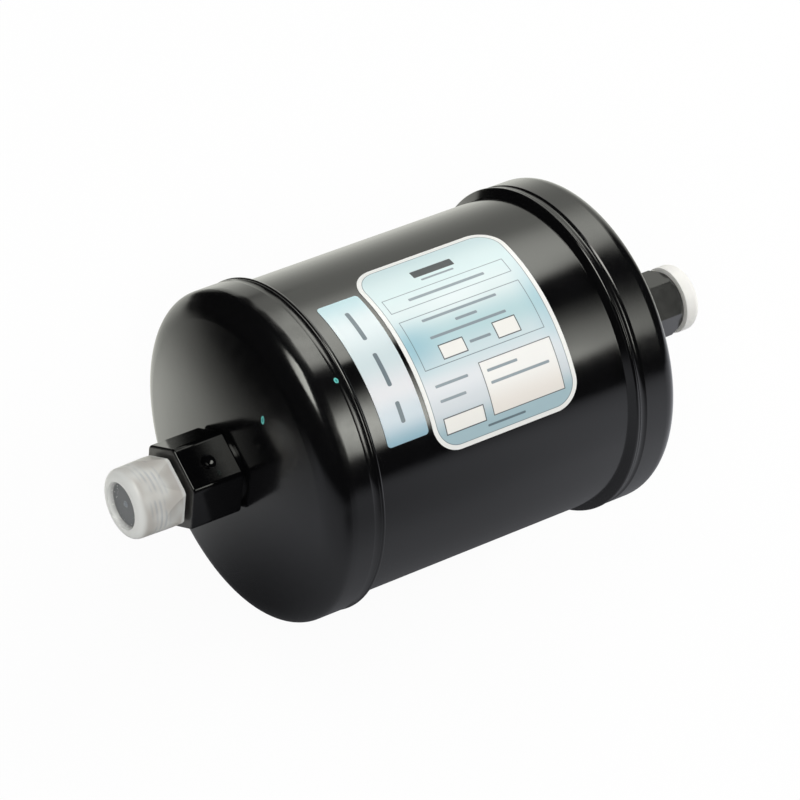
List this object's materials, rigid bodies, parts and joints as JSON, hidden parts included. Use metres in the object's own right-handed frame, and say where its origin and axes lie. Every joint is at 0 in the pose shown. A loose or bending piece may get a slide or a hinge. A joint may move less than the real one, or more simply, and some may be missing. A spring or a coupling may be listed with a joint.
{
  "type": "filter drier",
  "caption": "Welded steel in-line filter drier and receiver for a refrigerant line, with a male union under a plastic cap at one end and a plugged female union at the other.",
  "frame": {"origin": "centre of the cylindrical shell, on its axis", "axes": "+X along the can from the inlet to the outlet, +Z towards the side that the labels mark as up, +Y across"},
  "size_m": [0.2126, 0.1068, 0.1068],
  "materials": {
    "black_paint": "gloss",
    "black_fitting": "gloss",
    "milky_plastic": "translucent satin",
    "white_plastic": "satin",
    "label_foil": "satin print",
    "spring_steel": "drawn wire",
    "inner_steel": "mill",
    "glass_felt": "matte felt",
    "desiccant": "matte beads"
  },
  "bodies": {
    "vessel": {"shell": "black_paint", "inlet_end_cap": "black_paint", "outlet_end_cap": "black_paint", "inlet_girth_weld": "black_paint", "outlet_girth_weld": "black_paint", "inlet_fitting": "black_fitting", "outlet_fitting": "black_fitting", "inlet_fitting_braze": "black_paint", "outlet_fitting_braze": "black_paint", "main_label": "label_foil", "orientation_label": "label_foil", "compression_spring": "spring_steel", "inlet_perforated_plate": "inner_steel", "outlet_perforated_plate": "inner_steel", "inlet_filter_pad": "glass_felt", "outlet_filter_pad": "glass_felt", "desiccant_beads": "desiccant", "plate_stop_ring": "inner_steel", "pickup_tube": "inner_steel", "pickup_strainer": "inner_steel"},
    "inlet_cap": {"inlet_thread_cap": "milky_plastic"},
    "outlet_plug": {"outlet_port_plug": "white_plastic"}
  },
  "joints": [
    {"name": "inlet_cap_pull", "type": "slide", "parent": "vessel", "child": "inlet_cap", "axis": [-1, 0, 0], "range_m": [0, 0.06]},
    {"name": "outlet_plug_pull", "type": "slide", "parent": "vessel", "child": "outlet_plug", "axis": [1, 0, 0], "range_m": [0, 0.06]}
  ]
}
